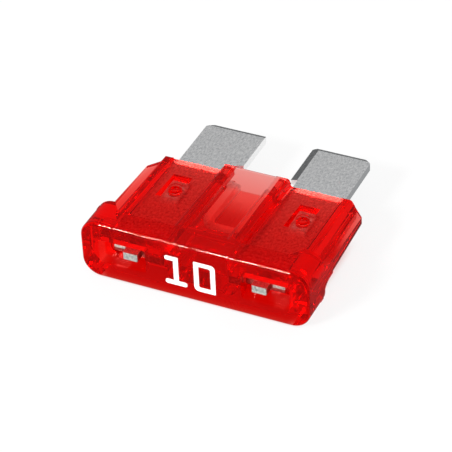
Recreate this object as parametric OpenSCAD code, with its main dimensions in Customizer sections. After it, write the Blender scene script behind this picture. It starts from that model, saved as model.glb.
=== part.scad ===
// Automotive blade fuse, regular size: a moulded transparent housing staked over one
// stamped zinc element. The fuse lies on a broad side. X runs across the two blades,
// +Y points to the blade tips and +Z is up. The origin is the bottom centre of its box.
// Inside the modules y = 0 is the end face and z = 0 is the middle of the strip.

/* [Overall] */
// Length from the end face to the blade tips
overall_len = 18.4; // [17.6:0.1:20]
// Length of the moulded housing
body_len = 12; // [11.5:0.1:13]
// Draft of the broad faces, in degrees
body_draft = 2.7; // [1:0.1:3.2]

/* [Head] */
// Thickness of the head
head_t = 5.1; // [4.8:0.1:6]
// Depth of the head at its two ends, the ears
head_len = 3.1; // [2.8:0.1:3.6]
// Width of the slanted inner side of each ear
ear_slant = 0.8; // [0.3:0.1:1.2]
// Distance that the head stands out past each wing
head_overhang = 0.15; // [0.1:0.05:0.8]
// Depth of the head's flat top, up to its back ramp
head_flat_len = 2; // [1.6:0.1:2.4]
// Radius of the head's corners, seen from its end
head_corner_r = 1.5; // [1:0.1:1.8]
// Radius of the rim round the end face
head_rim_r = 0.25; // [0.1:0.05:0.35]
// Length of the back ramp between the outer ribs
ramp_len = 1.15; // [0.8:0.05:1.4]

/* [Centre block] */
// Wall of the chamber's sides, at the top of the block
block_wall = 0.7; // [0.5:0.05:0.9]
// Thickness over the window faces, at the blade end
block_t = 3.2; // [2.9:0.1:3.6]
// Width that each sloping flank adds at its foot
block_flank = 0.32; // [0.1:0.02:0.45]
// Height of the ridges beside the window
ridge_h = 0.14; // [0.06:0.02:0.18]
// Width of each ridge
ridge_w = 1; // [0.8:0.05:1.1]
// Radius along the outer edge of each ridge
ridge_r = 0.44; // [0.2:0.02:0.46]
// Radius that rounds off the blade ends of the ridges and of the outer ribs
rib_end_r = 0.3; // [0.1:0.05:0.4]

/* [Side panels] */
// Thickness of the side panels, at the blade end
panel_t = 1.94; // [1.6:0.02:2.1]
// Bevel of the blade-end edges
end_bevel = 0.1; // [0.05:0.05:0.3]

/* [Ribs and wings] */
// Wall from the blade slot out to the feet of the outer ribs
side_wall = 1.05; // [0.9:0.05:1.2]
// Width of each outer rib's crown
rib_w = 0.62; // [0.4:0.02:0.8]
// Thickness over the outer ribs, at the blade end
rib_t = 2.24; // [2.1:0.02:2.5]
// Width of each rib's sloping outer flank
rib_flank = 0.43; // [0.3:0.01:0.55]
// Thickness at the root of the wings, at the blade end
wing_root_t = 0.86; // [0.7:0.02:1]
// Thickness at the edge of the wings, at the blade end
wing_edge_t = 0.5; // [0.3:0.02:0.6]
// Distance that each wing stands out past its rib, next to the head
wing_reach = 1; // [0.8:0.05:1.1]
// Width that the wings lose on each side, on the way to their corners
wing_taper = 0.1; // [0:0.02:0.2]
// Size of the wings' corner chamfers
wing_chamfer = 0.95; // [0.5:0.05:1.1]
// Height of the step from the middle to the top of the wing root fillet
root_rise = 1.8; // [1.4:0.1:2]
// Length of the wing root fillet
root_len = 1.9; // [1.2:0.1:2.4]

/* [Chamber] */
// Gap between the link's legs and the sides of the chamber
chamber_gap = 0.11; // [0.08:0.01:0.14]
// Wall between the chamber's mouth and each window face
window_wall = 0.4; // [0.35:0.05:0.8]
// Flare of the chamber's mouth
mouth_flare = 0.15; // [0.05:0.05:0.2]
// Depth of the chamber from the blade end
chamber_len = 8.6; // [8:0.1:8.8]
// Height that the chamber loses towards its bottom
chamber_taper = 0.2; // [0:0.05:0.4]

/* [Test openings] */
// Distance from the middle of a test tab out to the middle of its opening
opening_shift = 0.6; // [0:0.05:0.8]
// Width of a test opening
opening_w = 4; // [3.6:0.1:4.2]
// Height of a test opening
opening_h = 2.1; // [1.6:0.1:2.4]
// Depth of a test opening
opening_len = 1; // [0.9:0.05:1.3]
// Corner radius of a test opening
opening_r = 0.2; // [0.1:0.05:0.4]

/* [Blades] */
// Width over both blades
blade_span = 14.5; // [14.2:0.1:14.6]
// Width of one blade
blade_w = 5.2; // [5:0.05:5.25]
// Thickness of the strip
blade_t = 0.65; // [0.5:0.05:0.8]
// Distance from the end face to the blade shoulders
shoulder_y = 0.95; // [0.9:0.05:1.2]
// Corner chamfer at a blade's outer tip, across the blade
tip_chamfer_x = 0.55; // [0.2:0.05:0.9]
// Corner chamfer at a blade's outer tip, along the blade
tip_chamfer_y = 0.5; // [0.2:0.05:0.9]
// Width that each blade's inner edge steps back at its root
root_step_w = 0.7; // [0.6:0.05:0.9]
// Distance that the narrow root reaches out past the blade end of the housing
root_reach = 1.9; // [0.6:0.1:2.4]
// Length of the slant from the root to the full width
root_slant = 0.25; // [0.05:0.05:0.4]
// Length of the coined lead-in at the blade tips
tip_bevel_len = 0.32; // [0.1:0.02:0.5]
// Height of the lead-in on each broad face
tip_bevel_h = 0.1; // [0.05:0.01:0.15]
// Width of the ramps on both sides of the strip's thinned middle
thin_ramp_w = 0.64; // [0.3:0.02:0.8]

/* [Test tabs] */
// Width of a test tab
tab_w = 1.24; // [1:0.02:1.6]
// Distance from a blade's outer edge in to the middle of its tab
tab_inset = 1.85; // [1.6:0.05:2]
// Distance from the end face to the tab's end
tab_y = 0.15; // [0.05:0.05:0.4]

/* [Fusible link] */
// Thickness of the link and of the strip's thinned middle
link_t = 0.35; // [0.2:0.01:0.45]
// Width of the link
link_w = 0.87; // [0.5:0.01:0.9]
// Distance from the line of the blades' inner edges in to the link's legs
link_gap = 0.16; // [0.1:0.02:0.3]
// Gap between the link's bend and the bottom of the chamber
bend_gap = 1.5; // [0.8:0.05:2.2]
// Distance from the blade end of the housing in to the tops of the link's legs
link_inset = 0.7; // [0.5:0.1:1.4]
// Height of the stubs that join the link to the blades
stub_h = 0.9; // [0.5:0.05:1.2]
// Outer radius of the link's bend
link_bend_r = 1.25; // [1:0.05:1.6]

/* [Staking] */
// Distance from a blade's outer edge in to the middle of its staking pocket
stake_inset = 1.78; // [1.6:0.02:2.1]
// Distance from the blade end of the housing in to the staking pockets
stake_depth = 3.62; // [3:0.02:4.2]
// Width of a pocket at the panel's surface
pocket_w = 1.7; // [1.6:0.05:2]
// Length of a pocket at the panel's surface
pocket_len = 3.2; // [2.6:0.1:3.6]
// Depth of a pocket below the panel's surface
pocket_depth = 0.36; // [0.2:0.02:0.5]
// Width that each side of the pocket loses on the way down
side_slope = 0.14; // [0.04:0.02:0.2]
// Length that each end of the pocket loses on the way down
end_slope = 0.5; // [0.1:0.05:0.6]
// Diameter of the staking pin
pin_d = 1.1; // [0.8:0.05:1.2]
// Height of the pin's head over the pocket floor
pin_head_h = 0.2; // [0.1:0.02:0.3]
// Diameter of the punch mark in the pin's head
punch_d = 0.66; // [0.3:0.02:0.8]
// Depth of the punch mark below the pocket floor
punch_depth = 0.1; // [0.05:0.05:0.3]

/* [Clearances] */
// Clearance of the strip in its slot, on each broad face
slot_clear = 0.05; // [0.03:0.01:0.1]
// Clearance beside the blades in their slot
side_clear = 0.1; // [0.05:0.01:0.2]
// Clearance round a staking pin in its hole
pin_clear = 0.1; // [0.05:0.01:0.2]

/* [Hidden] */
$fn = 48;
arc_steps = 6;
eps = 0.02;
blade_out = blade_span / 2;
blade_in = blade_out - blade_w;
link_out = blade_in - link_gap;
link_in = link_out - link_w;
chamber_out = link_out + chamber_gap;
block_top = block_t / 2;
block_edge = chamber_out + block_wall;
slot_h = blade_t + 2 * slot_clear;
root_in = blade_in + root_step_w;
slot_in = root_in - side_clear;
slot_out = blade_out + side_clear;
slot_y = shoulder_y - slot_clear;
rib_foot = slot_out + side_wall;
rib_in = rib_foot - rib_flank - rib_w;
wing_out = rib_foot + wing_reach;
wing_tip = wing_out - wing_taper;
wing_chamfer_y = body_len - wing_chamfer;
head_w = 2 * (wing_out + head_overhang);
chamber_y = body_len - chamber_len;
link_y = chamber_y + bend_gap;
link_top_y = body_len - link_inset;
stub_y = link_top_y - stub_h;
root_end_y = body_len + root_reach;
bend_out_r = min(link_bend_r, link_out);
bend_in_r = min(max(link_bend_r - link_w, eps), link_in);
tab_x = blade_out - tab_inset;
stake_x = blade_out - stake_inset;
stake_y = body_len - stake_depth;
draft_rise = tan(body_draft);

// Height of a drafted face over the middle plane, at a distance y from the end face
function face_z(end_z, y) = end_z + (body_len - y) * draft_rise;

// Heights of the panel's surface and of the pocket floor at the staking pockets
stake_surface = face_z(panel_t / 2, stake_y);
pocket_floor = stake_surface - pocket_depth;

// Unit vector from one point to another
function heading(from, to) = (to - from) / norm(to - from);

// Arc that rounds the corner b between its neighbours a and c with radius r
function corner_arc(a, b, c, r) =
    let (u = heading(b, a))
    let (v = heading(b, c))
    let (half = acos(u * v) / 2)
    let (middle = b + (u + v) / norm(u + v) * r / sin(half))
    let (start = b + u * r / tan(half) - middle)
    let (end = b + v * r / tan(half) - middle)
    let (turn = atan2(start[0] * end[1] - start[1] * end[0], start * end))
    [for (i = [0:arc_steps])
        let (a1 = turn * i / arc_steps)
        middle + [start[0] * cos(a1) - start[1] * sin(a1), start[0] * sin(a1) + start[1] * cos(a1)]];

// Closed outline through points [x, y, r], with each corner rounded to its radius r
function rounded(points) =
    let (n = len(points))
    [for (i = [0:n - 1])
        let (before = points[(i + n - 1) % n])
        let (here = points[i])
        let (after = points[(i + 1) % n])
        let (b = [here[0], here[1]])
        each here[2] > 0
            ? corner_arc([before[0], before[1]], b, [after[0], after[1]], here[2])
            : [b]];

// Copies a shape to both sides of the centre line
module both_sides() {
    children();
    mirror([1, 0, 0]) children();
}

// Copies a shape to both broad sides
module both_faces() {
    children();
    mirror([0, 0, 1]) children();
}

// Extrudes an outline drawn in x and z along the fuse, from y0 to y1
module along_y(y0, y1) {
    translate([0, y1, 0])
        rotate([90, 0, 0])
            linear_extrude(height = y1 - y0)
                children();
}

// Extrudes an outline drawn in y and z across the fuse, from x0 to x1
module along_x(x0, x1) {
    translate([x0, 0, 0])
        rotate([90, 0, 90])
            linear_extrude(height = x1 - x0)
                children();
}

// Extrudes an outline drawn in x and y through a thickness, about the middle plane
module through_z(thickness) {
    translate([0, 0, -thickness / 2])
        linear_extrude(height = thickness)
            children();
}

// Moves the fuse from its own middle to its place in the library frame
module place() {
    translate([0, -overall_len / 2, head_t / 2])
        children();
}

// Side view of the rounded rim of the end face, out to a half size h and back to a depth
module rim_profile(h, depth) {
    polygon(rounded([[-depth, 0, 0], [0, 0, 0], [0, h, head_rim_r], [-depth, h, 0]]));
}

// Block with the head's outline and rim, from the end face back to a depth
module head_block(depth) {
    corner_x = head_w / 2 - head_corner_r;
    corner_z = head_t / 2 - head_corner_r;
    for (sx = [-1, 1])
        for (sz = [-1, 1])
            translate([sx * corner_x, 0, sz * corner_z])
                rotate([90, 0, 0])
                    rotate_extrude()
                        rotate(90)
                            mirror([0, 1, 0])
                                rim_profile(head_corner_r, depth);
    both_faces()
        mirror([0, 1, 0])
            along_x(-corner_x, corner_x)
                rim_profile(head_t / 2, depth);
    both_sides()
        through_z(2 * corner_z)
            rotate(-90)
                rim_profile(head_w / 2, depth);
}

// Plan outline of the right ear, from its slanted inner side out past the head's end
module ear_outline() {
    ear_in = rib_in + rib_w - ear_slant;
    polygon([
        [ear_in, 0],
        [ear_in, head_flat_len],
        [ear_in + ear_slant, head_len],
        [head_w, head_len],
        [head_w, 0]
    ]);
}

// Ramp from the head's flat top down to the side panels, between the outer ribs
module head_ramp() {
    top_z = head_t / 2;
    foot_y = head_flat_len + ramp_len;
    end_y = foot_y + 1;
    both_faces()
        along_x(-rib_in, rib_in)
            polygon(rounded([
                [head_flat_len - 1, 0, 0],
                [head_flat_len - 1, top_z, 0],
                [head_flat_len, top_z, 0.3],
                [foot_y, face_z(panel_t / 2, foot_y), 0.5],
                [end_y, face_z(panel_t / 2, end_y), 0],
                [end_y, 0, 0]
            ]));
}

// Concave fillet from the ends of the head down to the wings
module wing_root() {
    foot_y = head_len + root_len;
    wing_z = (wing_root_t + wing_edge_t) / 4;
    both_sides()
        both_faces()
            along_x(rib_in + rib_w / 2, wing_out)
                polygon(rounded([
                    [head_len - 0.5, 0, 0],
                    [head_len - 0.5, root_rise, 0],
                    [head_len, root_rise, 0],
                    [head_len + root_len / 6, face_z(wing_z, head_len), root_len * 0.7],
                    [foot_y, face_z(wing_z, foot_y), 0],
                    [foot_y, 0, 0]
                ]));
}

// Half of the body's cross-section at the blade end: block, panel, outer rib and wing
module body_section() {
    panel_z = panel_t / 2;
    polygon(rounded([
        [0, -1, 0],
        [0, block_top, 0],
        [block_edge - ridge_w, block_top, 0.1],
        [block_edge - ridge_w + 2 * ridge_h, block_top + ridge_h, 0.3],
        [block_edge, block_top + ridge_h, ridge_r],
        [block_edge + block_flank, panel_z, 0.2],
        [rib_in - 0.1, panel_z, 0],
        [rib_in, rib_t / 2, 0.06],
        [rib_in + rib_w, rib_t / 2, 0.3],
        [rib_foot, wing_root_t / 2, 0.1],
        [wing_out, wing_edge_t / 2, 0],
        [wing_out, -1, 0]
    ]));
}

// Drafted body: the section runs from the blade end into the head, rising with the draft
module body_shell() {
    overlap = 1;
    intersection() {
        both_faces()
            intersection() {
                both_sides()
                    translate([0, body_len, 0])
                        rotate([90 - body_draft, 0, 0])
                            translate([0, 0, -overlap])
                                linear_extrude(height = body_len + overlap - head_rim_r)
                                    body_section();
                translate([-head_w / 2, head_flat_len / 2, -eps])
                    cube([head_w, body_len - head_flat_len / 2, head_t]);
            }
        through_z(head_t)
            body_outline();
    }
}

// Plan outline of the body: the wings' side edges and their chamfered corners
module body_outline() {
    polygon([
        [wing_out, 0],
        [wing_tip, wing_chamfer_y],
        [wing_tip - wing_chamfer, body_len],
        [-wing_tip + wing_chamfer, body_len],
        [-wing_tip, wing_chamfer_y],
        [-wing_out, 0]
    ]);
}

// Bevels on the blade-end edges of the panels and of the window faces
module end_bevels() {
    both_faces() {
        end_bevel_cut(rib_in, panel_t / 2);
        end_bevel_cut(block_edge - ridge_w, block_top);
    }
}

// Prism that bevels one blade-end edge at the height z, across a half width
module end_bevel_cut(half_w, z) {
    along_x(-half_w, half_w)
        polygon([
            [body_len - end_bevel, z + end_bevel * draft_rise],
            [body_len + eps, z - end_bevel - eps],
            [body_len + eps, z + 2 * end_bevel],
            [body_len - end_bevel, z + 2 * end_bevel]
        ]);
}

// Rounded blade ends of the ridges and of the outer ribs
module rib_ends() {
    both_sides()
        both_faces() {
            rib_end_cut(block_edge - ridge_w, block_edge + block_flank, block_top + ridge_h);
            rib_end_cut(rib_in, rib_foot, rib_t / 2);
        }
}

// Prism that rounds off one blade end whose crown is at the height z, from x0 to x1
module rib_end_cut(x0, x1, z) {
    crown = [body_len - 1, z + draft_rise];
    arc = corner_arc(crown, [body_len, z], [body_len, z - 1], rib_end_r);
    along_x(x0, x1)
        polygon(concat(arc, [
            [body_len + 1, arc[arc_steps][1]],
            [body_len + 1, z + 1],
            [arc[0][0], z + 1]
        ]));
}

// Fuse chamber, open at the blade end, where its mouth is flared
module chamber() {
    mouth_z = block_top - window_wall;
    floor_z = mouth_z - chamber_taper / 2;
    both_faces()
        along_x(-chamber_out, chamber_out)
            polygon(rounded([
                [chamber_y, -eps, 0],
                [chamber_y, floor_z, 0.3],
                [body_len - mouth_flare, mouth_z, 0],
                [body_len + mouth_flare, mouth_z + 2 * mouth_flare, 0],
                [body_len + mouth_flare, -eps, 0]
            ]));
}

// Slots that hold the two blades, open at the blade end
module blade_slots() {
    both_sides()
        translate([slot_in, slot_y, -slot_h / 2])
            cube([slot_out - slot_in, body_len + 1 - slot_y, slot_h]);
}

// Slot across the chamber's side walls, through which the link's stubs reach the blades
module stub_slot() {
    bottom_y = stub_y - side_clear;
    translate([-slot_in - eps, bottom_y, -slot_h / 2])
        cube([2 * (slot_in + eps), body_len + 1 - bottom_y, slot_h]);
}

// Test openings in the end face, over the test tabs
module test_openings() {
    inner = tab_x + opening_shift - opening_w / 2;
    outer = inner + opening_w;
    half_h = opening_h / 2;
    both_sides()
        along_y(-1, opening_len)
            polygon(rounded([
                [inner, -half_h, opening_r],
                [outer, -half_h, opening_r],
                [outer, half_h, opening_r],
                [inner, half_h, opening_r]
            ]));
}

// View of a staking pocket: a half size at the surface, which shrinks on the way down
module pocket_side(half_size, shrink) {
    growth = shrink / pocket_depth;
    polygon([
        [-half_size + shrink, pocket_floor],
        [half_size - shrink, pocket_floor],
        [half_size + growth, stake_surface + 1],
        [-half_size - growth, stake_surface + 1]
    ]);
}

// Pockets that the staking tool leaves in the panels, on both broad sides
module staking_pockets() {
    both_sides()
        both_faces()
            translate([stake_x, stake_y, 0])
                intersection() {
                    along_y(-pocket_len, pocket_len)
                        pocket_side(pocket_w / 2, side_slope);
                    along_x(-pocket_w, pocket_w)
                        pocket_side(pocket_len / 2, end_slope);
                }
}

// Staking pins: they pass through the blades and end in punched heads in the pockets
module staking_pins() {
    top = pocket_floor + pin_head_h;
    both_sides()
        translate([stake_x, stake_y, 0])
            difference() {
                translate([0, 0, -top])
                    cylinder(d = pin_d, h = 2 * top);
                both_faces()
                    translate([0, 0, pocket_floor - punch_depth])
                        cylinder(d1 = punch_d / 2, d2 = punch_d, h = pin_head_h + punch_depth + eps);
            }
}

// Moulded housing, one piece
module housing() {
    color([0.85, 0.06, 0.06, 0.8])
        place() {
            difference() {
                union() {
                    head_block(head_flat_len);
                    intersection() {
                        head_block(head_len);
                        both_sides()
                            through_z(head_t)
                                ear_outline();
                    }
                    head_ramp();
                    wing_root();
                    body_shell();
                }
                end_bevels();
                rib_ends();
                chamber();
                blade_slots();
                stub_slot();
                test_openings();
                staking_pockets();
            }
            staking_pins();
        }
}

// Half of the stamped outline: inside of the link, stub, blade, test tab, outside of the link
function half_outline() =
    let (tab_in = tab_x - tab_w / 2)
    let (tab_out = tab_x + tab_w / 2)
    [
        [link_in, link_y + link_w, bend_in_r],
        [link_in, link_top_y, 0.35],
        [root_in, link_top_y, 0.2],
        [root_in, root_end_y - root_slant, 0.15],
        [blade_in, root_end_y, 0.05],
        [blade_in, overall_len, 0.12],
        [blade_out - tip_chamfer_x, overall_len, 0.08],
        [blade_out, overall_len - tip_chamfer_y, 0.08],
        [blade_out, shoulder_y, 0.15],
        [tab_out, shoulder_y, 0],
        [tab_out, tab_y, 0.1],
        [tab_in, tab_y, 0.1],
        [tab_in, shoulder_y, 0],
        [root_in, shoulder_y, 0],
        [root_in, stub_y, 0.1],
        [link_out, stub_y, 0.1],
        [link_out, link_y, bend_out_r]
    ];

// Stamped outline of the whole element: the half and its mirror image as one closed loop
module stamped_outline() {
    half = half_outline();
    last = len(half) - 1;
    mirrored = [for (i = [last:-1:0]) [-half[i][0], half[i][1], half[i][2]]];
    polygon(rounded(concat(half, mirrored)));
}

// Cross-section of the strip: its top face is milled down in the middle, between a ramp
// from the left blade's inner edge and one that ends on the right blade
module strip_section() {
    full = blade_t / 2;
    thin = link_t - full;
    polygon([
        [-blade_out, -full],
        [blade_out, -full],
        [blade_out, full],
        [blade_in + thin_ramp_w, full],
        [blade_in, thin],
        [-blade_in + thin_ramp_w, thin],
        [-blade_in, full],
        [-blade_out, full]
    ]);
}

// Coined lead-in across the blade tips, on both broad faces
module tip_bevels() {
    full = blade_t / 2;
    slope = tip_bevel_h / tip_bevel_len;
    both_faces()
        along_x(-blade_span, blade_span)
            polygon([
                [overall_len - tip_bevel_len, full],
                [overall_len + eps, full - tip_bevel_h - eps * slope],
                [overall_len + eps, full + tip_bevel_h],
                [overall_len - tip_bevel_len, full + tip_bevel_h]
            ]);
}

// Stamped element, one piece: two blades, two test tabs and the fusible link
module fuse_element() {
    color([0.75, 0.76, 0.78])
        place()
            difference() {
                intersection() {
                    along_y(0, overall_len)
                        strip_section();
                    through_z(head_t)
                        stamped_outline();
                }
                both_sides()
                    translate([stake_x, stake_y, -head_t])
                        cylinder(d = pin_d + 2 * pin_clear, h = 2 * head_t);
                tip_bevels();
            }
}

housing();
fuse_element();
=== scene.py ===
# %% [markdown]
# An automotive blade fuse of the regular size, lying on its broad side in a small white
# studio. The fuse is two pieces: a transparent red moulded housing, and one strip of
# zinc alloy stamped into two blades, two test tabs and the thin link that melts. Both
# come from the CAD model as they are. This lesson gives them their finish, prints the
# current rating on the end face, and sets up the light and the camera.

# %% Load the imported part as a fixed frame
import math

import bmesh
import bpy
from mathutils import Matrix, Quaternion, Vector


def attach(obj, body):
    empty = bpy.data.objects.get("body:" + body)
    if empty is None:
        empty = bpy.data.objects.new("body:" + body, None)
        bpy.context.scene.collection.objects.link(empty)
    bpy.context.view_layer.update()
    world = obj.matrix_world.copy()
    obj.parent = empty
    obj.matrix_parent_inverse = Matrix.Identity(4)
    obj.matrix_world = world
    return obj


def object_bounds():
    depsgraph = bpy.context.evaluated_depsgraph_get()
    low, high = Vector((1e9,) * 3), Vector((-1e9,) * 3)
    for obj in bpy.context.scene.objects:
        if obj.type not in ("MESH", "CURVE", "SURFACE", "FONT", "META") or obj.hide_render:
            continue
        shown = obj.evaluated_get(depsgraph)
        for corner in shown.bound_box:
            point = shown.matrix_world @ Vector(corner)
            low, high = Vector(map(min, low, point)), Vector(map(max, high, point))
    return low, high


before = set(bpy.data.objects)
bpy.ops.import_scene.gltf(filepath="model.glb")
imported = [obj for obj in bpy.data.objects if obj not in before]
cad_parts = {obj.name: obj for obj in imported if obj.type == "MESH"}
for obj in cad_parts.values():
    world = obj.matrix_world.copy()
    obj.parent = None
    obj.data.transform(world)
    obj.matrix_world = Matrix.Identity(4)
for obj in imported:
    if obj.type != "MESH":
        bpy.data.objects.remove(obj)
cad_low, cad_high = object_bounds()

MM = 0.001
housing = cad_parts["housing"]
fuse_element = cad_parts["fuse_element"]
centre = (cad_low + cad_high) / 2
for name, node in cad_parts.items():
    print(name, len(node.data.polygons), "faces")

# %% [markdown]
# A render adds up light in linear values, while a colour is picked on a screen, as a hex
# value. The screen's curve could be undone by hand for each colour. One function does it
# for all of them, so that every colour below can be read and picked as a screen shows it.

# %% Turn hex colours into linear light


def linear(hex_colour):
    """Turns an sRGB hex colour such as "c0c2c4" into linear red, green, blue and alpha."""
    values = [int(hex_colour[i:i + 2], 16) / 255 for i in (0, 2, 4)]
    steps = [v / 12.92 if v <= 0.04045 else ((v + 0.055) / 1.055) ** 2.4 for v in values]
    return (*steps, 1.0)


print("a middle grey of 808080 is", round(linear("808080")[0], 3), "in linear light")

# %% [markdown]
# A material is a tree of nodes. Added line by line, with its settings and links apart,
# even a simple one is hard to follow. One small function adds a node together with its
# settings and everything that goes into it, so each recipe below reads from top to
# bottom. A Mix node holds a set of sockets for each kind of data, and its colour sockets
# are found by number, so those three numbers get names.

# %% Add nodes and materials
FIRST, SECOND, MIXED = 6, 7, 2


def add_node(tree, kind, inputs=None, **settings):
    """Adds a node. Inputs are values, or the output sockets that are linked to them."""
    node = tree.nodes.new("ShaderNode" + kind)
    for key, value in settings.items():
        setattr(node, key, value)
    for key, value in (inputs or {}).items():
        if isinstance(value, bpy.types.NodeSocket):
            tree.links.new(value, node.inputs[key])
        else:
            node.inputs[key].default_value = value
    return node


def new_material(name):
    """Makes an empty node material and returns it with its tree."""
    material = bpy.data.materials.new(name)
    material.use_nodes = True
    material.node_tree.nodes.clear()
    return material, material.node_tree


print("colour sockets of a Mix node:", FIRST, SECOND, "and", MIXED)

# %% [markdown]
# The housing is injection moulded from transparent polycarbonate that is dyed right
# through. Its red gets deeper with every millimetre of plastic: a single wall over a
# white table is pink, two walls are light red, and the thick head is deep red. A red
# surface colour would tint them all alike, so the colour goes into the volume instead.
# The absorption node takes out of the light, for each metre, the density times what the
# colour lacks of white. So the hex value is paler than the fuse: it is about the pink
# that a flake half a millimetre thick would have.

# %% Dyed polycarbonate, injection moulded: clear, and redder where it is thicker
DYE_COLOUR = linear("fea198")
DYE_DENSITY = 3433.0

plastic, tree = new_material("polycarbonate_dyed_moulded")
dye = add_node(tree, "VolumeAbsorption", {"Color": DYE_COLOUR, "Density": DYE_DENSITY})
green_loss = DYE_DENSITY * (1 - DYE_COLOUR[1])
print("half of the green light is gone after", round(math.log(2) / green_loss / MM, 2), "mm")

# %% [markdown]
# The skin of a moulding copies the polished steel of the mould, and then the plastic
# behind it shrinks a little as it cools. That leaves a faint waviness, with waves about
# one and a half millimetres long, which bends the highlights. A perfectly smooth skin
# would look like a drawing. The same noise also tints the skin very slightly, since the
# dye is never mixed in quite evenly.

# %% Shrinkage waves in the moulded skin
SHRINK_WAVE = 1.6 * MM
SHRINK_DEPTH = 0.03 * MM

place = add_node(tree, "TexCoord").outputs["Object"]
waves = add_node(tree, "TexNoise", {"Vector": place, "Scale": 1 / SHRINK_WAVE, "Detail": 2.0})
skin = add_node(tree, "Mix", {
    "Factor": waves.outputs["Fac"], FIRST: linear("fcfcf9"), SECOND: linear("fffcf9"),
}, data_type="RGBA")
shrinkage = add_node(tree, "Bump", {
    "Height": waves.outputs["Fac"], "Strength": 0.2, "Distance": SHRINK_DEPTH,
})
print("shrinkage waves", round(SHRINK_WAVE / MM, 2), "mm long")

# %% [markdown]
# The border of the end face, above and below the test openings, has a light texture from
# spark erosion in the mould, while the rest is polished. The place is found from Object
# coordinates: close to the end face along Y, and away from the middle plane along Z. A
# mask can be multiplied into the height of a bump, but then its own slope tilts the
# surface along the edge of the zone. Here it drives the bump's strength, which leaves
# the polished rim alone.

# %% Eroded border of the end face
ERODED_GRAIN = 0.28 * MM
ERODED_DEPTH = 0.03 * MM
BORDER_FROM = 1.4 * MM
BORDER_TO = 1.6 * MM
END_SKIN_FROM = -8.95 * MM
END_SKIN_TO = -9.1 * MM

at = add_node(tree, "SeparateXYZ", {"Vector": place})
end_zone = add_node(tree, "MapRange", {
    "Value": at.outputs["Y"], "From Min": END_SKIN_FROM, "From Max": END_SKIN_TO,
})
off_middle = add_node(tree, "Math", {0: at.outputs["Z"], 1: centre.z}, operation="SUBTRACT")
off_middle = add_node(tree, "Math", {0: off_middle.outputs["Value"]}, operation="ABSOLUTE")
border = add_node(tree, "MapRange", {
    "Value": off_middle.outputs["Value"], "From Min": BORDER_FROM, "From Max": BORDER_TO,
})
eroded_zone = add_node(tree, "Math", {
    0: end_zone.outputs["Result"], 1: border.outputs["Result"],
}, operation="MULTIPLY")
erosion = add_node(tree, "TexNoise", {"Vector": place, "Scale": 1 / ERODED_GRAIN, "Detail": 2.0})
border_bump = add_node(tree, "Bump", {
    "Height": erosion.outputs["Fac"], "Strength": eroded_zone.outputs["Value"],
    "Distance": ERODED_DEPTH, "Normal": shrinkage.outputs["Normal"],
})
print("eroded border starts", round(BORDER_FROM / MM, 2), "mm from the middle plane")

# %% [markdown]
# A fuse is handled and pushed about in a box, so its gloss carries fine marks. The real
# ones are hundredths of a millimetre wide, too fine to show in this picture, so they are
# drawn about a tenth of a millimetre apart. The shader itself is clear and polished.
# Polycarbonate has an index of refraction of about 1.58, and it is matched to the object
# here at 1.5. The reflections are tinted a little, which stands in for the light that
# the dye sends back from just under the skin.

# %% Handling marks and the polished shader
HANDLING_MARK = 0.12 * MM
MARK_DEPTH = 0.004 * MM
PLASTIC_IOR = 1.5

marks = add_node(tree, "TexNoise", {"Vector": place, "Scale": 1 / HANDLING_MARK, "Detail": 4.0})
surface = add_node(tree, "Bump", {
    "Height": marks.outputs["Fac"], "Strength": 0.25, "Distance": MARK_DEPTH,
    "Normal": border_bump.outputs["Normal"],
})
shader = add_node(tree, "BsdfPrincipled", {
    "Base Color": skin.outputs[MIXED], "Roughness": 0.0,
    "IOR": PLASTIC_IOR, "Specular Tint": linear("ffcbc4"),
    "Transmission Weight": 1.0, "Normal": surface.outputs["Normal"],
})
add_node(tree, "OutputMaterial", {
    "Surface": shader.outputs["BSDF"], "Volume": dye.outputs["Volume"],
})
print(plastic.name, len(tree.nodes), "nodes")

# %% [markdown]
# The strip is rolled zinc alloy with a thin bright plating. Its flat faces are satin
# grey, with a soft mottle of crystals about a fifth of a millimetre across and finer
# streaks that the rolls drew out along the blades. One noise could stand for both. Two
# are mixed here, and the second is stretched along Y, because the eye tells a rolled
# face by its direction.

# %% Rolled zinc alloy: satin grey faces with crystals and streaks
CRYSTAL = 0.22 * MM
GRAIN = 0.08 * MM
STREAK_STRETCH = (1.0, 0.2, 1.0)
MOTTLE_LOW, MOTTLE_HIGH = 0.35, 0.65

zinc, tree = new_material("zinc_alloy_rolled_stamped")
place = add_node(tree, "TexCoord").outputs["Object"]
crystals = add_node(tree, "TexNoise", {"Vector": place, "Scale": 1 / CRYSTAL, "Detail": 5.0})
streaks_place = add_node(tree, "Mapping", {"Vector": place, "Scale": STREAK_STRETCH})
streaks = add_node(tree, "TexNoise", {
    "Vector": streaks_place.outputs["Vector"], "Scale": 1 / GRAIN, "Detail": 3.0,
})
mottle = add_node(tree, "Mix", {
    "Factor": 0.5, "A": crystals.outputs["Fac"], "B": streaks.outputs["Fac"],
}, data_type="FLOAT")
mottle_range = add_node(tree, "MapRange", {
    "Value": mottle.outputs["Result"], "From Min": MOTTLE_LOW, "From Max": MOTTLE_HIGH,
})
face_colour = add_node(tree, "Mix", {
    "Factor": mottle_range.outputs["Result"], FIRST: linear("bcbec0"), SECOND: linear("f6f6f6"),
}, data_type="RGBA")
print("crystals", round(CRYSTAL / MM, 2), "mm, streaks", round(GRAIN / MM, 2), "mm wide")

# %% [markdown]
# One strip shows several finishes: some come from the tools, and some are painted light.
# They could be separate material slots, but the CAD node has one slot and its mesh is
# left alone. So the shader finds them by the direction of the true normal: level on the
# rolled faces, slightly sloping where the die coined a lead-in, and sideways on the
# edges that the punch cut.

# %% Tell faces, coined slopes and cut edges apart
CUT_BELOW, FACE_ABOVE = 0.3, 0.88
COINED_BELOW, LEVEL_ABOVE = 0.96, 0.985

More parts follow.
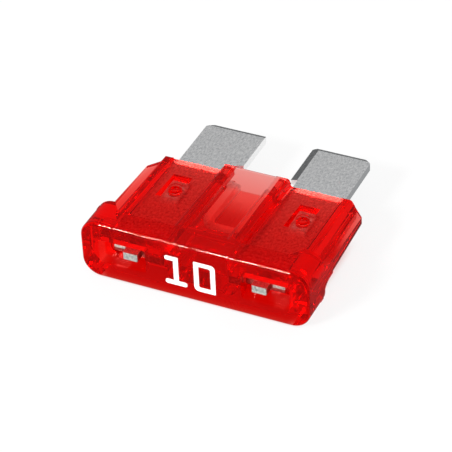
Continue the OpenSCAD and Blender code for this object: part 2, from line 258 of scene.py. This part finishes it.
normal = add_node(tree, "SeparateXYZ", {
    "Vector": add_node(tree, "NewGeometry").outputs["True Normal"],
})
upward = add_node(tree, "Math", {0: normal.outputs["Z"]}, operation="ABSOLUTE")
sheared = add_node(tree, "MapRange", {
    "Value": upward.outputs["Value"], "From Min": CUT_BELOW, "From Max": FACE_ABOVE,
    "To Min": 1.0, "To Max": 0.0,
})
coined = add_node(tree, "MapRange", {
    "Value": upward.outputs["Value"], "From Min": COINED_BELOW, "From Max": LEVEL_ABOVE,
    "To Min": 1.0, "To Max": 0.0,
})
print("coined slopes lean", round(math.degrees(math.acos(LEVEL_ABOVE)), 1), "degrees or more")

# %% [markdown]
# At the tips the die coins a shallow lead-in, and those slopes are painted a darker grey,
# a painted shade. A cutter thins the link, and its middle is painted brighter than the
# plated face, a painted highlight. The first is kept to the blades outside the housing,
# by a step along Y. The second is a soft ball around the middle of the link, which is
# simpler than following its outline and covers hardly anything else.

# %% Painted shade on the coined tips and a painted highlight on the link
BLADES_FROM = 2.6 * MM
BLADES_TO = 2.8 * MM
LINK_HIGHLIGHT_CENTRE = (0.3 * MM, -1.0 * MM, 2.55 * MM)
LINK_HIGHLIGHT_FROM = 2.6 * MM
LINK_HIGHLIGHT_TO = 3.2 * MM

position = add_node(tree, "SeparateXYZ", {"Vector": place})
outside = add_node(tree, "MapRange", {
    "Value": position.outputs["Y"], "From Min": BLADES_FROM, "From Max": BLADES_TO,
})
# Painted shade: the coined slopes of the blades outside the housing are painted a darker grey.
painted_tip_shade = add_node(tree, "Math", {
    0: coined.outputs["Result"], 1: outside.outputs["Result"],
}, operation="MULTIPLY")
painted_shade_colour = add_node(tree, "Mix", {
    "Factor": mottle_range.outputs["Result"], FIRST: linear("7c7e80"), SECOND: linear("b0b2b4"),
}, data_type="RGBA")
# Painted highlight: a soft ball around the middle of the link is painted brighter.
from_link = add_node(tree, "VectorMath", {0: place, 1: LINK_HIGHLIGHT_CENTRE}, operation="DISTANCE")
painted_link_highlight = add_node(tree, "MapRange", {
    "Value": from_link.outputs["Value"], "From Min": LINK_HIGHLIGHT_FROM, "From Max": LINK_HIGHLIGHT_TO,
    "To Min": 1.0, "To Max": 0.0,
})
plate_and_link_highlight = add_node(tree, "Mix", {
    "Factor": painted_link_highlight.outputs["Result"], FIRST: face_colour.outputs[MIXED],
    SECOND: linear("ffffff"),
}, data_type="RGBA")
rolled_with_painted_light = add_node(tree, "Mix", {
    "Factor": painted_tip_shade.outputs["Value"], FIRST: plate_and_link_highlight.outputs[MIXED],
    SECOND: painted_shade_colour.outputs[MIXED],
}, data_type="RGBA")
print("milled middle", round(2 * LINK_HIGHLIGHT_FROM / MM, 1), "mm across")

# %% [markdown]
# Two kinds of cut run along the blades. The outer edges are where the coil of metal was
# slit to width, and the inner edges are punched with a close die. The inner edges are
# painted bright, a painted highlight, and the outer edges dark, a painted shade. Both look
# sideways, and the distance from the middle tells them apart.

# %% Painted shade on the slit outer edges and painted highlight on the inner edges
SLIT_EDGE_X = 7.2 * MM
SLIT_BLEND = 0.3 * MM

outwards = add_node(tree, "Math", {0: position.outputs["X"]}, operation="ABSOLUTE")
slit = add_node(tree, "MapRange", {
    "Value": outwards.outputs["Value"], "From Min": SLIT_EDGE_X - SLIT_BLEND,
    "From Max": SLIT_EDGE_X,
})
# Painted highlight on the inner edges, and painted shade on the slit outer edges.
edge_highlight_and_shade = add_node(tree, "Mix", {
    "Factor": slit.outputs["Result"], FIRST: linear("f4f4f4"), SECOND: linear("8c8e90"),
}, data_type="RGBA")
print("slit edges lie", round(SLIT_EDGE_X / MM, 2), "mm or more from the middle")

# %% [markdown]
# In the test openings the strip shows its cut ends. The two test tabs end almost at the
# end face and are bare metal, scuffed by probe tips. The shoulders beside them lie
# deeper, and their colour is painted light: the upper half of their outer part is painted
# pale, a painted highlight, and the rest is painted red, a painted reflection of the red
# plastic around them. Three colours on three material slots would need a cut in the CAD
# mesh, so the depth along Y, the distance from the middle and the height choose between them.

# %% Ends of the test tabs, and painted reflection and highlight on the shoulders
TAB_END_Y = -8.9 * MM
SHOULDER_Y = -8.6 * MM
GLINT_FROM_X = 6.2 * MM
GLINT_FROM_Z = 2.5 * MM

tab_end_colour = add_node(tree, "Mix", {
    "Factor": mottle_range.outputs["Result"], FIRST: linear("7c8688"), SECOND: linear("e8e4d8"),
}, data_type="RGBA")
# Painted reflection: the shoulders are painted the red of the plastic around them.
painted_red_reflection = add_node(tree, "Mix", {
    "Factor": mottle_range.outputs["Result"], FIRST: linear("8c1410"), SECOND: linear("c86860"),
}, data_type="RGBA")
# Painted highlight: the upper half of the shoulders' outer part is painted pale.
painted_glint_colour = add_node(tree, "Mix", {
    "Factor": mottle_range.outputs["Result"], FIRST: linear("8c7c74"), SECOND: linear("fff8ec"),
}, data_type="RGBA")
outer = add_node(tree, "Math", {
    0: outwards.outputs["Value"], 1: GLINT_FROM_X,
}, operation="GREATER_THAN")
upper = add_node(tree, "Math", {
    0: position.outputs["Z"], 1: GLINT_FROM_Z,
}, operation="GREATER_THAN")
painted_glint_zone = add_node(tree, "Math", {
    0: outer.outputs["Value"], 1: upper.outputs["Value"],
}, operation="MULTIPLY")
shoulder_colour = add_node(tree, "Mix", {
    "Factor": painted_glint_zone.outputs["Value"], FIRST: painted_red_reflection.outputs[MIXED],
    SECOND: painted_glint_colour.outputs[MIXED],
}, data_type="RGBA")
depth = add_node(tree, "MapRange", {
    "Value": position.outputs["Y"], "From Min": TAB_END_Y, "From Max": SHOULDER_Y,
})
end_colour = add_node(tree, "Mix", {
    "Factor": depth.outputs["Result"], FIRST: tab_end_colour.outputs[MIXED],
    SECOND: shoulder_colour.outputs[MIXED],
}, data_type="RGBA")
print("shoulders lie", round((SHOULDER_Y - TAB_END_Y) / MM, 2), "mm or more behind the tab ends")

# %% [markdown]
# Now the finishes are laid over each other: ends over edges, and cut metal over rolled
# metal. Zinc keeps the metal's own reflections, so the shader is fully metallic with its
# index left alone. Bright crystals are also a little smoother than dark ones, which is
# what makes the mottle shimmer as the fuse turns.

# %% Lay the finishes together on the strip
ENDS_UP_TO = -8.1 * MM
ENDS_GONE_BY = -7.9 * MM
GRAIN_DEPTH = 0.01 * MM
SATIN_DARK, SATIN_BRIGHT = 0.4, 0.3

at_the_ends = add_node(tree, "MapRange", {
    "Value": position.outputs["Y"], "From Min": ENDS_UP_TO, "From Max": ENDS_GONE_BY,
    "To Min": 1.0, "To Max": 0.0,
})
cut_colour = add_node(tree, "Mix", {
    "Factor": at_the_ends.outputs["Result"], FIRST: edge_highlight_and_shade.outputs[MIXED],
    SECOND: end_colour.outputs[MIXED],
}, data_type="RGBA")
metal_colour = add_node(tree, "Mix", {
    "Factor": sheared.outputs["Result"], FIRST: rolled_with_painted_light.outputs[MIXED],
    SECOND: cut_colour.outputs[MIXED],
}, data_type="RGBA")
satin = add_node(tree, "MapRange", {
    "Value": mottle.outputs["Result"], "From Min": MOTTLE_LOW, "From Max": MOTTLE_HIGH,
    "To Min": SATIN_DARK, "To Max": SATIN_BRIGHT,
})
grain_bump = add_node(tree, "Bump", {
    "Height": mottle.outputs["Result"], "Strength": 0.3, "Distance": GRAIN_DEPTH,
})
shader = add_node(tree, "BsdfPrincipled", {
    "Base Color": metal_colour.outputs[MIXED], "Metallic": 1.0,
    "Roughness": satin.outputs["Result"], "Normal": grain_bump.outputs["Normal"],
})
add_node(tree, "OutputMaterial", {"Surface": shader.outputs["BSDF"]})
print(zinc.name, len(tree.nodes), "nodes")

# %% [markdown]
# The current rating is pad printed in white ink on the end face, where it can be read
# with the fuse in its socket. Pad printing lays down a thin film with soft corners that
# is a little uneven, so the ink is matt, slightly blotchy, and never quite pure white.

# %% Pad-printed ink: matt white film
INK_BLOTCH = 0.25 * MM
INK_UNEVENNESS = 0.006 * MM

ink, tree = new_material("white_pad_print_ink")
place = add_node(tree, "TexCoord").outputs["Object"]
blotches = add_node(tree, "TexNoise", {"Vector": place, "Scale": 1 / INK_BLOTCH, "Detail": 3.0})
ink_colour = add_node(tree, "Mix", {
    "Factor": blotches.outputs["Fac"], FIRST: linear("f4efec"), SECOND: linear("ffffff"),
}, data_type="RGBA")
film = add_node(tree, "Bump", {
    "Height": blotches.outputs["Fac"], "Strength": 0.3, "Distance": INK_UNEVENNESS,
})
shader = add_node(tree, "BsdfPrincipled", {
    "Base Color": ink_colour.outputs[MIXED], "Roughness": 0.55,
    "Normal": film.outputs["Normal"],
})
add_node(tree, "OutputMaterial", {"Surface": shader.outputs["BSDF"]})
print(ink.name, len(tree.nodes), "nodes")

# %% [markdown]
# The CAD solids already have the right shape, so they only change their material. They
# could be copied and replaced, but nothing about their form needs it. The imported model
# comes with a plain preview material in each slot, and the new one takes its place.

# %% Dress the two CAD pieces
for node, material in ((housing, plastic), (fuse_element, zinc)):
    for slot in node.material_slots:
        slot.material = material
    print(node.name, "wears", material.name)

# %% [markdown]
# The digits are drawn as a printer's artwork would be: straight strokes of one width on
# a small grid. A font would be quicker, but no font has just these strokes. A 3 by 3
# grid is stretched so that its lines fall on the edges of the strokes, the empty cells
# are deleted, the corners of the strokes are rounded, and the face is drawn out to a
# thin film. The film starts a few thousandths of a millimetre inside the plastic, as ink
# bites into it. Laid on top with a gap, its back would be black when it is seen through
# the housing.

# %% A printed digit on the end face
INK_THICKNESS = 0.025 * MM
INK_KEYED_IN = 0.005 * MM
END_FACE_Y = cad_low.y
GRID_CELLS = 3
CORNER_SEGMENTS = 5


def printed_digit(name, columns, rows, empty, corners):
    """A digit on the end face. Columns and rows are the grid lines in mm, corners the
    roundings as (column, row, radius)."""
    bm = bmesh.new()
    half = GRID_CELLS / 2
    bmesh.ops.create_grid(bm, x_segments=GRID_CELLS, y_segments=GRID_CELLS, size=half)
    cells = {(round(f.calc_center_median().x + 1), round(f.calc_center_median().y + 1)): f
             for f in bm.faces}
    corner_of = {}
    for v in bm.verts:
        column, row = round(v.co.x + half), round(v.co.y + half)
        corner_of[column, row] = v
        v.co = (columns[column] * MM, rows[row] * MM, 0)
    rounded = [(corner_of[c, r], radius) for c, r, radius in corners]
    bmesh.ops.delete(bm, geom=[cells[cell] for cell in empty], context="FACES")
    loose = [v for v in bm.verts if not v.link_faces]
    bmesh.ops.delete(bm, geom=loose, context="VERTS")
    for vert, radius in rounded:
        bmesh.ops.bevel(
            bm, geom=[vert], offset=radius * MM, affect="VERTICES",
            segments=CORNER_SEGMENTS, profile=0.5, material=-1,
        )
    drawn = bmesh.ops.extrude_face_region(bm, geom=list(bm.faces))
    raised = [g for g in drawn["geom"] if isinstance(g, bmesh.types.BMVert)]
    bmesh.ops.translate(bm, vec=(0, 0, INK_THICKNESS), verts=raised)
    bmesh.ops.rotate(
        bm, verts=bm.verts, cent=(0, 0, 0),
        matrix=Quaternion((1, 0, 0), math.radians(90)).to_matrix(),
    )
    bmesh.ops.translate(bm, vec=(0, END_FACE_Y + INK_KEYED_IN, centre.z), verts=bm.verts)
    bmesh.ops.recalc_face_normals(bm, faces=bm.faces)
    mesh = bpy.data.meshes.new(name)
    bm.to_mesh(mesh)
    bm.free()
    mesh.materials.append(ink)
    digit = bpy.data.objects.new(name, mesh)
    bpy.context.scene.collection.objects.link(digit)
    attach(digit, "root")
    print(name, len(mesh.polygons), "faces")


print("ink film", round(INK_THICKNESS / MM, 3), "mm thick")

# %% [markdown]
# The rating is 10 amperes, and red is the usual colour for it. The one has a serif at
# its top left and a foot, and the zero is drawn with two opposite corners rounder than
# the others, as on the real print. The numbers are the edges of the strokes in
# millimetres from the middle of the end face.

# %% Print the rating
printed_digit(
    "printed_digit_one",
    columns=[-2.33, -1.62, -1.20, -0.50],
    rows=[-1.40, -0.98, 0.85, 1.25],
    empty=[(0, 1), (2, 1), (2, 2)],
    corners=[(0, 0, 0.18), (3, 0, 0.18), (3, 1, 0.18), (0, 1, 0.18), (0, 2, 0.15), (0, 3, 0.18)],
)
printed_digit(
    "printed_digit_zero",
    columns=[0.09, 0.50, 1.48, 1.88],
    rows=[-1.45, -1.05, 0.92, 1.30],
    empty=[(1, 1)],
    corners=[(0, 0, 0.4), (3, 3, 0.4), (0, 3, 0.08), (3, 0, 0.08), (1, 1, 0.15), (2, 2, 0.15)],
)

# %% [markdown]
# The fuse lies on a sweep of white paper. One large square does for it, since the camera
# never sees its edge.

# %% Floor of the studio
FLOOR_SIZE = 4.0

bm = bmesh.new()
bmesh.ops.create_grid(bm, x_segments=1, y_segments=1, size=FLOOR_SIZE / 2)
floor_mesh = bpy.data.meshes.new("studio_floor")
bm.to_mesh(floor_mesh)
bm.free()
studio_floor = bpy.data.objects.new("studio_floor", floor_mesh)
bpy.context.scene.collection.objects.link(studio_floor)
print("floor", FLOOR_SIZE, "m wide")

# %% [markdown]
# White paper could be made white with stronger lamps, but those would wash out the fuse.
# Instead the paper glows a little in the eyes of the camera, of the metal and of the
# plastic, which the Light Path node tells apart from the light that falls on it. The
# glow is a share of what they see. The rest is plain matt paper, which keeps the shadow.

# %% White paper sweep: matt, and seen as white
FLOOR_GLOW = 0.85

paper, tree = new_material("white_paper_sweep")
path = add_node(tree, "LightPath")
seen = add_node(tree, "Math", {
    0: path.outputs["Is Camera Ray"], 1: path.outputs["Is Glossy Ray"],
}, operation="MAXIMUM")
seen = add_node(tree, "Math", {
    0: seen.outputs["Value"], 1: path.outputs["Is Transmission Ray"],
}, operation="MAXIMUM")
share = add_node(tree, "Math", {0: seen.outputs["Value"], 1: FLOOR_GLOW}, operation="MULTIPLY")
print("share of the glow", FLOOR_GLOW)

# %% [markdown]
# Under the fuse the real paper isn't white: all the light that gets there has come
# through the red plastic. Tracing that light through the housing needs a great many rays
# and leaves bright specks, so the paper's glow carries the shade instead. It is a soft
# red patch that ends under the edges of the housing. It starts at the end face and fades
# out under the link, where light from the open blade side gets in.

# %% Red shade under the housing
SHADE_COLOUR = "d44a40"
SHADE_SIDES = (7.5 * MM, 9.0 * MM)
SHADE_END_FACE = (-9.3 * MM, -8.7 * MM)
SHADE_BLADE_SIDE = (-0.6 * MM, 2.8 * MM)

on_paper = add_node(tree, "SeparateXYZ", {
    "Vector": add_node(tree, "TexCoord").outputs["Object"],
})
aside = add_node(tree, "Math", {0: on_paper.outputs["X"]}, operation="ABSOLUTE")
under_x = add_node(tree, "MapRange", {
    "Value": aside.outputs["Value"], "From Min": SHADE_SIDES[0], "From Max": SHADE_SIDES[1],
    "To Min": 1.0, "To Max": 0.0,
}, interpolation_type="SMOOTHSTEP")
behind_end_face = add_node(tree, "MapRange", {
    "Value": on_paper.outputs["Y"],
    "From Min": SHADE_END_FACE[0], "From Max": SHADE_END_FACE[1],
}, interpolation_type="SMOOTHSTEP")
before_blades = add_node(tree, "MapRange", {
    "Value": on_paper.outputs["Y"],
    "From Min": SHADE_BLADE_SIDE[0], "From Max": SHADE_BLADE_SIDE[1],
    "To Min": 1.0, "To Max": 0.0,
}, interpolation_type="SMOOTHSTEP")
under_y = add_node(tree, "Math", {
    0: behind_end_face.outputs["Result"], 1: before_blades.outputs["Result"],
}, operation="MULTIPLY")
under = add_node(tree, "Math", {
    0: under_x.outputs["Result"], 1: under_y.outputs["Value"],
}, operation="MULTIPLY")
paper_light = add_node(tree, "Mix", {
    "Factor": under.outputs["Value"], FIRST: linear("ffffff"), SECOND: linear(SHADE_COLOUR),
}, data_type="RGBA")
print("shade fades out at", round(SHADE_BLADE_SIDE[1] / MM, 1), "mm along the fuse")

# %% [markdown]
# Polished plastic mirrors the room as well as letting light through. In a white room its
# reflections lie over the red like milk, and a photographer puts up black card to stop
# that. Here the card is a rule for rays: one that bounced straight off a polished
# surface, and hasn't been through the plastic, finds the room dim. The rays that came
# through the plastic still find it white, and so the red keeps its glow.

# %% Dim mirror image of the paper
MIRROR_LEVEL = 0.1
NOT_YET_THROUGH = 0.5

straight = add_node(tree, "Math", {
    0: path.outputs["Transmission Depth"], 1: NOT_YET_THROUGH,
}, operation="LESS_THAN")
mirror_ray = add_node(tree, "Math", {
    0: path.outputs["Is Singular Ray"], 1: straight.outputs["Value"],
}, operation="MULTIPLY")
paper_face = add_node(tree, "BsdfDiffuse", {"Color": linear("fafafa")})
paper_glow = add_node(tree, "Emission", {"Color": paper_light.outputs[MIXED], "Strength": 1.0})
paper_seen = add_node(tree, "MixShader", {
    "Fac": share.outputs["Value"], 1: paper_face.outputs["BSDF"],
    2: paper_glow.outputs["Emission"],
})
paper_dim = add_node(tree, "Emission", {"Color": linear("ffffff"), "Strength": MIRROR_LEVEL})
paper_all = add_node(tree, "MixShader", {
    "Fac": mirror_ray.outputs["Value"], 1: paper_seen.outputs["Shader"],
    2: paper_dim.outputs["Emission"],
})
add_node(tree, "OutputMaterial", {"Surface": paper_all.outputs["Shader"]})
floor_mesh.materials.append(paper)
print(paper.name, len(tree.nodes), "nodes")

# %% [markdown]
# The world is the rest of the room. It is dark at the horizon and light overhead, like a
# big soft box above a table with dark walls, and that gives the satin blades their even
# grey and their cut edges some contrast. The same rule for rays as on the paper keeps
# the plastic clear: straight reflections find it dim, and what the camera sees past the
# paper or through the plastic is white. Matt surfaces get a plain, even level.

# %% Room around the table
HORIZON_LEVEL = 0.05
OVERHEAD_LEVEL = 0.9
MATT_LEVEL = 0.8

world = bpy.data.worlds.new("studio")
world.use_nodes = True
tree = world.node_tree
tree.nodes.clear()
path = add_node(tree, "LightPath")
height = add_node(tree, "SeparateXYZ", {
    "Vector": add_node(tree, "TexCoord").outputs["Generated"],
})
overhead = add_node(tree, "MapRange", {
    "Value": height.outputs["Z"], "From Min": 0.0, "From Max": 1.0,
    "To Min": HORIZON_LEVEL, "To Max": OVERHEAD_LEVEL,
}, interpolation_type="SMOOTHSTEP")
mirrored = add_node(tree, "Mix", {
    "Factor": path.outputs["Is Singular Ray"], "A": overhead.outputs["Result"],
    "B": MIRROR_LEVEL,
}, data_type="FLOAT")
passed = add_node(tree, "Math", {
    0: path.outputs["Transmission Depth"], 1: NOT_YET_THROUGH,
}, operation="GREATER_THAN")
sees_white = add_node(tree, "Math", {
    0: path.outputs["Is Camera Ray"], 1: passed.outputs["Value"],
}, operation="MAXIMUM")
level = add_node(tree, "Mix", {
    "Factor": sees_white.outputs["Value"], "A": mirrored.outputs["Result"], "B": 1.0,
}, data_type="FLOAT")
level = add_node(tree, "Mix", {
    "Factor": path.outputs["Is Diffuse Ray"], "A": level.outputs["Result"], "B": MATT_LEVEL,
}, data_type="FLOAT")
room = add_node(tree, "Background", {
    "Color": linear("ffffff"), "Strength": level.outputs["Result"],
})
add_node(tree, "OutputWorld", {"Surface": room.outputs["Background"]})
bpy.context.scene.world = world
print("room from", HORIZON_LEVEL, "to", OVERHEAD_LEVEL)

# %% [markdown]
# One small soft box hangs in front of the fuse and above it. Its place comes from the
# mirror rule: the thin bevel along the upper rim of the end face has to reflect it into
# the lens, while the broad faces just miss it. That draws the bright line that tells the
# eye where the end face ends. A lamp's power is spread over its area, so the power is
# worked out from the brightness wanted and the size of the disk.

# %% Soft box for the rim
BOX_TOWARDS = Vector((-0.36, -0.75, 0.55)).normalized()
BOX_DISTANCE = 0.40
BOX_SIZE = 0.10
BOX_BRIGHTNESS = 50.0

lamp = bpy.data.lights.new("soft_box_front", "AREA")
lamp.shape = "DISK"
lamp.size = BOX_SIZE
lamp.energy = BOX_BRIGHTNESS * math.pi * math.pi * (BOX_SIZE / 2) ** 2
soft_box = bpy.data.objects.new("soft_box_front", lamp)
soft_box.location = centre + BOX_TOWARDS * BOX_DISTANCE
soft_box.rotation_mode = "QUATERNION"
soft_box.rotation_quaternion = (-BOX_TOWARDS).to_track_quat("-Z", "Y")
bpy.context.scene.collection.objects.link(soft_box)
print("soft box of", round(lamp.energy, 4), "W")

# %% [markdown]
# The camera stands where the photographer stood. It could be set by eye, but then no
# edge would quite fall in place. Here it was worked out from known lengths on the fuse: a
# long lens, 37 degrees above the table and 26 degrees round to the right, rolled a
# little to the left.

# %% Camera
AIM_POINT = Vector((-0.82, -1.50, 1.52)) * MM
VIEW_DISTANCE = 177.45 * MM
VIEW_AZIMUTH = math.radians(26.40)
VIEW_ELEVATION = math.radians(37.11)
VIEW_ROLL = math.radians(-2.73)
SENSOR_MM = 36.0
LENS_MM = 180.09

back = Vector((
    math.sin(VIEW_AZIMUTH) * math.cos(VIEW_ELEVATION),
    -math.cos(VIEW_AZIMUTH) * math.cos(VIEW_ELEVATION),
    math.sin(VIEW_ELEVATION),
))
lens = bpy.data.cameras.new("studio_camera")
lens.sensor_width = SENSOR_MM
lens.lens = LENS_MM
lens.clip_start = 1 * MM
lens.clip_end = 10.0
camera = bpy.data.objects.new("studio_camera", lens)
camera.location = AIM_POINT + back * VIEW_DISTANCE
camera.rotation_mode = "QUATERNION"
camera.rotation_quaternion = (
    (-back).to_track_quat("-Z", "Y") @ Quaternion((0, 0, 1), VIEW_ROLL)
)
bpy.context.scene.collection.objects.link(camera)
bpy.context.scene.camera = camera
print("camera at", [round(v / MM, 2) for v in camera.location], "mm")

# %% [markdown]
# A ray that enters the housing crosses many walls before it leaves: the skin, the
# chamber, the slot and the staking pockets on both sides. The usual limits would end it
# half way and leave black patches, so the limits go up. The plain view transform shows
# each colour about as its hex value says.

# %% Rays through many walls
WALLS_TO_CROSS = 32
MIRRORS_IN_A_ROW = 24

scene = bpy.context.scene
scene.cycles.max_bounces = WALLS_TO_CROSS
scene.cycles.transmission_bounces = WALLS_TO_CROSS
scene.cycles.glossy_bounces = MIRRORS_IN_A_ROW
scene.view_settings.view_transform = "Standard"
print("a ray may cross", WALLS_TO_CROSS, "surfaces")
